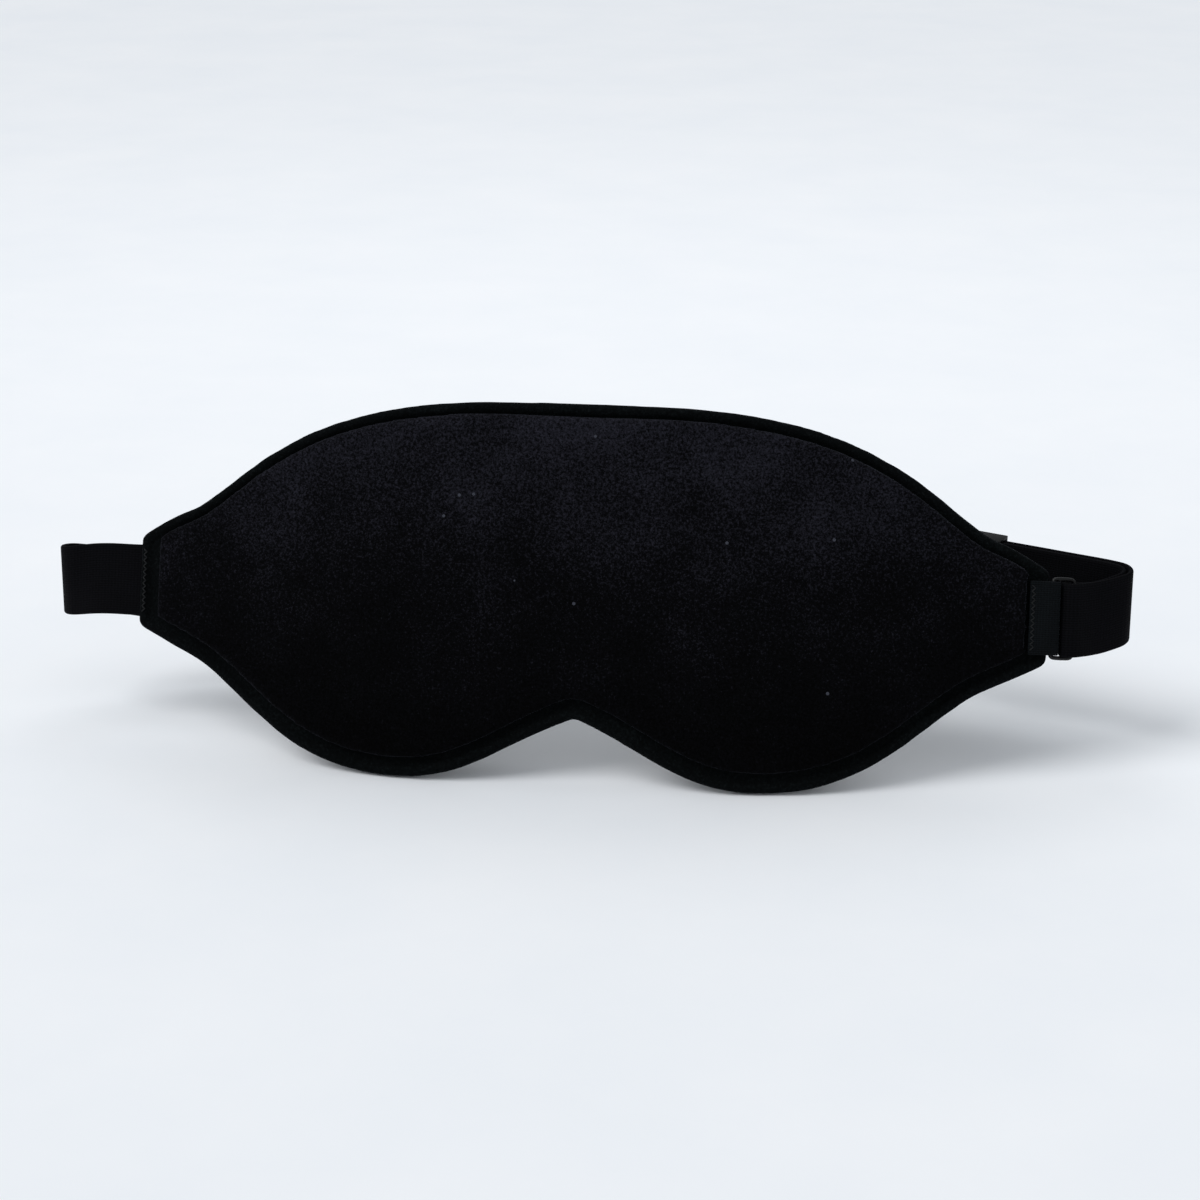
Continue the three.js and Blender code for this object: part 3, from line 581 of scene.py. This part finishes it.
def left_turn(butt):
    """Drawn as if on the right, from the root outwards, then mirrored and turned about."""
    end = Vector((butt.x, butt.y + LAYER))
    start = end + Vector((LEFT_RUN, LEFT_RUN * math.tan(LEFT_HEADING)))
    bent = turn(start, LEFT_HEADING, LEFT_TURN, math.pi - LEFT_HEADING - FAR)
    plan = [Vector((-p.x, p.y)) for p in [end, end.lerp(start, 0.5)] + bent]
    return list(reversed(sloped(plan, butt.z, butt.z - LEFT_FALL)))


def free_strap():
    """The middle line between the two layers, from the right root round to the left root."""
    butt = stand(BUTT_X, BUTT_N, END_LEVEL)
    points = right_turn(butt)
    far = Vector((-math.cos(FAR), math.sin(FAR), 0))
    straight_start = points[-1].copy()
    straight_end = straight_start + far * STRAIGHT
    points += [straight_start + far * STRAIGHT * i / 24 for i in range(1, 25)]
    touch = Vector((TOUCH_X, butt.y + DEPTH, WIDTH / 2 - ORIGIN.z))
    level_in, level_out = Vector((FLOOR_REACH[0], 0, 0)), Vector((-FLOOR_REACH[1], 0, 0))
    points += bezier(straight_end, straight_end + far * SAG_REACH, touch + level_in, touch, 32)
    left = left_turn(butt)
    rise = Vector((CLIMB_REACH * math.cos(FAR), CLIMB_REACH * math.sin(FAR), -DROP))
    points += bezier(touch, touch + level_out, left[0] + rise, left[0], 40)
    points += left[1:]
    return [p + ORIGIN for p in points], straight_start + ORIGIN


middle, straight_start = free_strap()
print("free strap:", round(travelled_to(middle)[-1] / MM), "mm")

# %% [markdown]
# The strap leans with the mask near its ends and stands upright on the far run. Round each turn
# its width stays in line with the turn's axis, as a band wrapped on a post lies. The outer layer
# is on one side of the middle line and the free tail on the other.

# %% Both layers
UPRIGHT_FROM_ROOT = 16 * MM
SQUARE_START, SQUARE_END = 25 * MM, 60 * MM


def smooth(x, low, high):
    t = min(1, max(0, (x - low) / (high - low)))
    return t * t * (3 - 2 * t)


def frames_along(points):
    """Each point with its width direction, the direction out of the loop, and its distance."""
    travelled = travelled_to(points)
    found = []
    for i, p in enumerate(points):
        tangent = (points[min(i + 1, len(points) - 1)] - points[max(i - 1, 0)]).normalized()
        from_root = min(travelled[i], travelled[-1] - travelled[i])
        width = MASK_UP.lerp(UP, smooth(from_root, 0, UPRIGHT_FROM_ROOT)).normalized()
        square = smooth(from_root, SQUARE_START, SQUARE_END)
        width = (width - tangent * width.dot(tangent) * square).normalized()
        found.append((p, width, tangent.cross(width).normalized(), travelled[i]))
    return found


stations = frames_along(middle)
start_along = min(s[3] for s in stations if (s[0] - straight_start).length < 0.1 * MM)
outer_layer = [(p + outer * LAYER, width) for p, width, outer, _ in reversed(stations)]
tail_stations = [s for s in stations if s[3] <= start_along + TAIL]
tail_layer = [(p - outer * LAYER, width) for p, width, outer, _ in tail_stations]
print("outer layer:", len(outer_layer), "stations, tail:", len(tail_layer))

# %% [markdown]
# On the left the strap is sewn flat behind the mask's end. On the right it folds round the ring's
# outer bar, and the fold is drawn long, so that it closes on the tab as soft elastic does.

# %% Sewn end and fold
SEWN_AT = (109.1, 112, 115, 118.5, 121.5)
FOLD_STRETCH = 1.5
FOLD_STEPS = 12


def in_plan(x, n):
    return stand(x, n, END_LEVEL) + ORIGIN


sewn_w = FLANGE + GAP + TAPE + GAP + WEBBING + GAP + THICK / 2
left_root = [in_plan(*bend(-u * MM, sewn_w)) for u in SEWN_AT]
left_root.append(in_plan(-(BUTT_X - 6 * MM), BUTT_N - 0.1 * MM))

bar = Vector((BAR_X, BAR_N))
outwards = (Vector((BUTT_X, BUTT_N)) - bar).normalized()
across = Vector((-outwards.y, outwards.x))
fold_radius = WIRE_RADIUS + RING_PLAY + THICK / 2
fold = []
for k in range(FOLD_STEPS + 1):
    angle = -math.pi / 2 - math.pi * k / FOLD_STEPS
    reach = outwards * FOLD_STRETCH * math.cos(angle) + across * math.sin(angle)
    p = bar + fold_radius * reach
    fold.append(in_plan(p.x, p.y))

run = [(p, MASK_UP) for p in left_root] + outer_layer + [(p, MASK_UP) for p in fold] + tail_layer
print("whole line:", len(run), "stations")

# %% [markdown]
# The line is divided evenly and relaxed a little, as elastic has no sharp kinks. Its height and
# its lean are relaxed much more than its plan, which keeps the turns tight. A flat section with
# round edges is then carried along it, thicker at the hem. Extruding by hand would do the same,
# but the section has to keep its twist from station to station.

# %% The strap's section


def even(run, step):
    """The run at even steps: the distances, and a (place, width direction) for each."""
    lengths = travelled_to([p for p, _ in run])
    places = np.array([tuple(p) + tuple(w) for p, w in run])
    at = np.linspace(0, lengths[-1], int(lengths[-1] / step) + 1)
    lines = np.stack([np.interp(at, lengths, places[:, i]) for i in range(6)], axis=1)
    for first_column, rounds in ((0, 3), (2, 60)):
        part = lines[:, first_column:]
        for _ in range(rounds):
            part[1:-1] = part[1:-1] * 0.5 + (part[:-2] + part[2:]) * 0.25
    return at, [(Vector(row[:3]), Vector(row[3:]).normalized()) for row in lines]


def section(thickness):
    """Points round a flat band with round edges: (across, out)."""
    r = thickness / 2
    flat = WIDTH / 2 - r
    across = np.linspace(-flat, flat, 13)
    edge = [math.pi / 2 - math.pi * k / 6 for k in range(1, 6)]
    points = [(a, r) for a in across]
    points += [(flat + r * math.cos(e), r * math.sin(e)) for e in edge]
    points += [(a, -r) for a in reversed(across)]
    points += [(-flat - r * math.cos(e), -r * math.sin(e)) for e in edge]
    return points


at, line = even(run, 0.6 * MM)
hem_start = at[-1] - HEM
vertices = []
for i, (p, width) in enumerate(line):
    tangent = (line[min(i + 1, len(line) - 1)][0] - line[max(i - 1, 0)][0]).normalized()
    out = width.cross(tangent).normalized()
    folded = smooth(at[i], hem_start - 0.6 * MM, hem_start + 0.2 * MM)
    centre = p + out * 0.5 * HEM_FOLD * folded
    ripple = noise.noise(p * 90) * 0.08 * MM
    for a, o in section(THICK + HEM_FOLD * folded):
        vertices.append(centre + width * a + out * (o + ripple))
print("strap's whole length:", round(at[-1] / MM), "mm")

# %% The strap's mesh
profile = section(THICK)
corners = len(profile)
faces = []
for i in range(len(line) - 1):
    for j in range(corners):
        k = (j + 1) % corners
        a, b = i * corners, (i + 1) * corners
        faces.append((a + j, b + j, b + k, a + k))
last = (len(line) - 1) * corners
faces += [tuple(range(corners)), tuple(last + j for j in reversed(range(corners)))]
mesh = bpy.data.meshes.new("elastic_strap")
mesh.from_pydata(vertices, [], faces)
strap = bpy.data.objects.new("elastic_strap", mesh)
bpy.context.scene.collection.objects.link(strap)
print("strap:", len(faces), "faces")

# %% [markdown]
# The strap gets a UV map in millimetres, along and then across, for its ribs.

# %% The strap's map and cloth
layer = mesh.uv_layers.new(name="along the strap")
for loop in mesh.loops:
    i, j = divmod(loop.vertex_index, corners)
    layer.data[loop.index].uv = (at[i] / MM, profile[j][0] / MM)
only(strap)
bpy.ops.object.mode_set(mode="EDIT")
bpy.ops.mesh.select_all(action="SELECT")
bpy.ops.mesh.normals_make_consistent(inside=False)
bpy.ops.object.mode_set(mode="OBJECT")
bpy.ops.object.shade_smooth_by_angle(angle=math.radians(50))
mesh.materials.append(elastic)
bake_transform(strap)
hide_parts("elastic_left_root", "elastic_right_root", "elastic_back_run", "elastic_tail")

# %% [markdown]
# The ring and the adjuster are moulded, so a small round on each arris is enough. The ring is
# round wire and gets a subdivision, and the adjuster's bars are flat and get a bevel. Both sit
# close on the strap's edges, so they are drawn 2.5 percent lower than the solid pieces.

# %% Ring and adjuster
LOWERED = 0.025


def moulded(name, node, body, plastic, radius, up):
    piece = copy_of(name, node)
    low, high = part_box(node)
    centre = (low + high) / 2
    for vertex in piece.data.vertices:
        vertex.co -= up * (vertex.co - centre).dot(up) * LOWERED
    if radius:
        apply(piece, "BEVEL", width=radius, segments=3, limit_method="ANGLE", angle_limit=math.radians(40))
    else:
        apply(piece, "SUBSURF", levels=1, render_levels=1)
    only(piece)
    bpy.ops.object.shade_smooth_by_angle(angle=math.radians(50))
    piece.data.materials.append(plastic)
    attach(piece, body)
    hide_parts(node)
    print(name, len(piece.data.polygons), "faces")


moulded("wire_ring", "end_ring", "ring", ring_plastic, 0, MASK_UP)
moulded("strap_adjuster", "tri_glide", "adjuster", adjuster_plastic, 0.3 * MM, UP)

# %% [markdown]
# A bartack is a zigzag of thread. Each seam is drawn as a curve with a round section, dipping
# into the cloth at every needle hole, and is then made a mesh. Each lies a little in from the
# mask's end, in front of the cloth that it holds.

# %% Seams
SEAM_HALF = 8.3 * MM
SWING = 0.45 * MM
THREAD_RADIUS = 0.17 * MM
DIP = 0.16 * MM
TURNS, POINTS_PER_TURN = 11, 6


def seam(name, node, u, w):
    curve = bpy.data.curves.new(name, "CURVE")
    curve.dimensions = "3D"
    curve.bevel_depth = THREAD_RADIUS
    curve.bevel_resolution = 2
    spline = curve.splines.new("POLY")
    steps = TURNS * POINTS_PER_TURN
    spline.points.add(steps)
    for i in range(steps + 1):
        phase = i / steps * TURNS
        sideways = 4 * abs(phase - math.floor(phase + 0.5)) - 1
        v = END_LEVEL - SEAM_HALF + 2 * SEAM_HALF * i / steps
        p = place(u + SWING * sideways, v, w + DIP * sideways ** 2)
        spline.points[i].co = (*p, 1)
    piece = bpy.data.objects.new(name, curve)
    bpy.context.scene.collection.objects.link(piece)
    only(piece)
    bpy.ops.object.convert(target="MESH")
    piece = bpy.context.object
    bpy.ops.object.shade_smooth()
    piece.data.materials.append(thread)
    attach(piece, "mask")
    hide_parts(node)
    print(name, len(piece.data.polygons), "faces")


seam("left_seam_thread", "left_bartack", -(HALF_WIDTH - 1.9 * MM), -1.25 * MM)
seam("right_seam_thread", "right_bartack", HALF_WIDTH - 5.0 * MM, -2.75 * MM)
